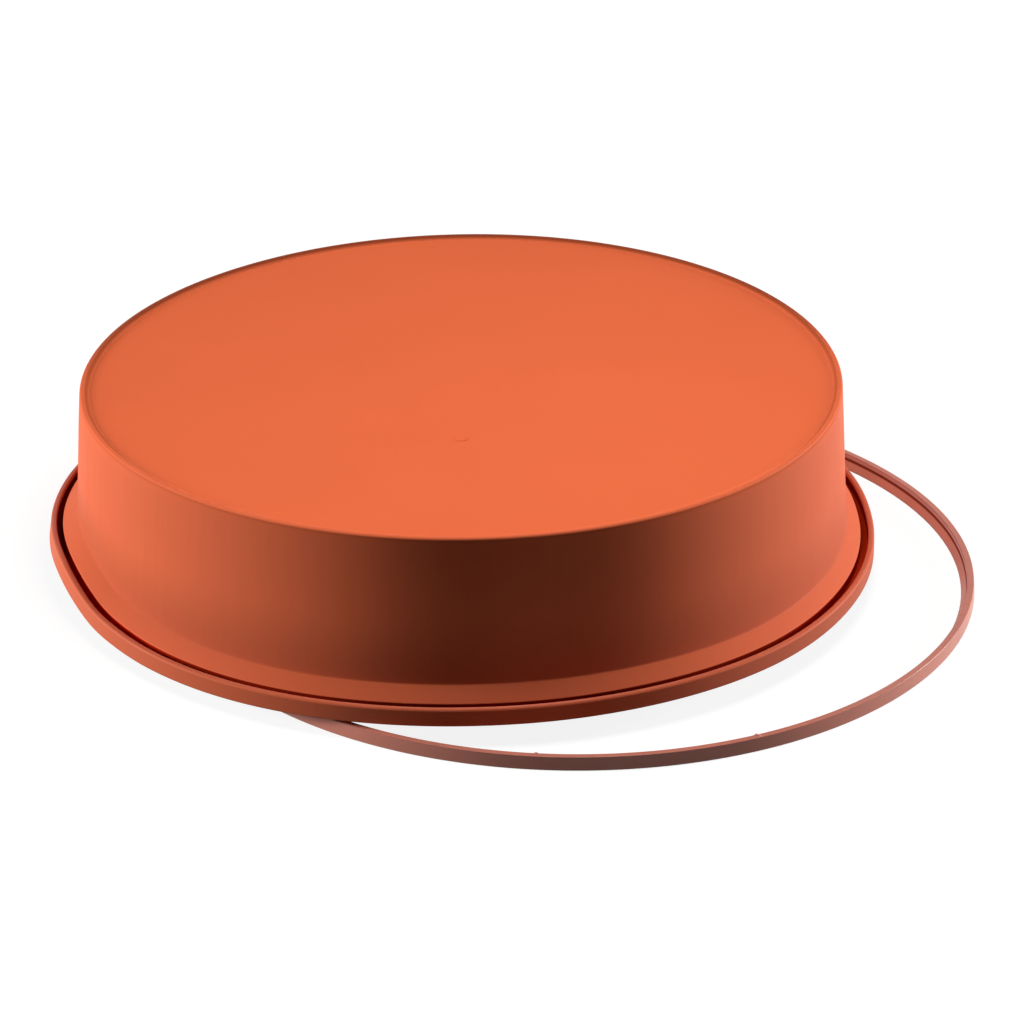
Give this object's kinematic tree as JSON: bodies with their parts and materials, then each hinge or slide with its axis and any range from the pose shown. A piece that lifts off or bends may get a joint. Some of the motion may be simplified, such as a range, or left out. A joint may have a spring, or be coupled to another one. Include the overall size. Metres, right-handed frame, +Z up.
{
  "type": "round silicone cake pan",
  "caption": "Round soft cake pan standing base up, with a drafted wall, flared rim and rim groove, leaning on the separate stiffening ring whose rib presses into that groove.",
  "frame": {"origin": "on the table, under the middle of the bounding box of the pan and its ring", "axes": "+Z up from the table, +X to the right and +Y away from the viewer as the pair lies in the picture"},
  "size_m": [0.3186, 0.3018, 0.0713],
  "materials": {
    "silicone": "satin moulded silicone",
    "ring_plastic": "satin moulded plastic"
  },
  "bodies": {
    "ring": {"support_ring": "ring_plastic"},
    "pan": {"silicone_pan": "silicone"}
  },
  "joints": [
    {"name": "pan_lift", "type": "slide", "parent": "ring", "child": "pan", "axis": [0, 0, 1], "range_m": [0, 0.12]}
  ]
}
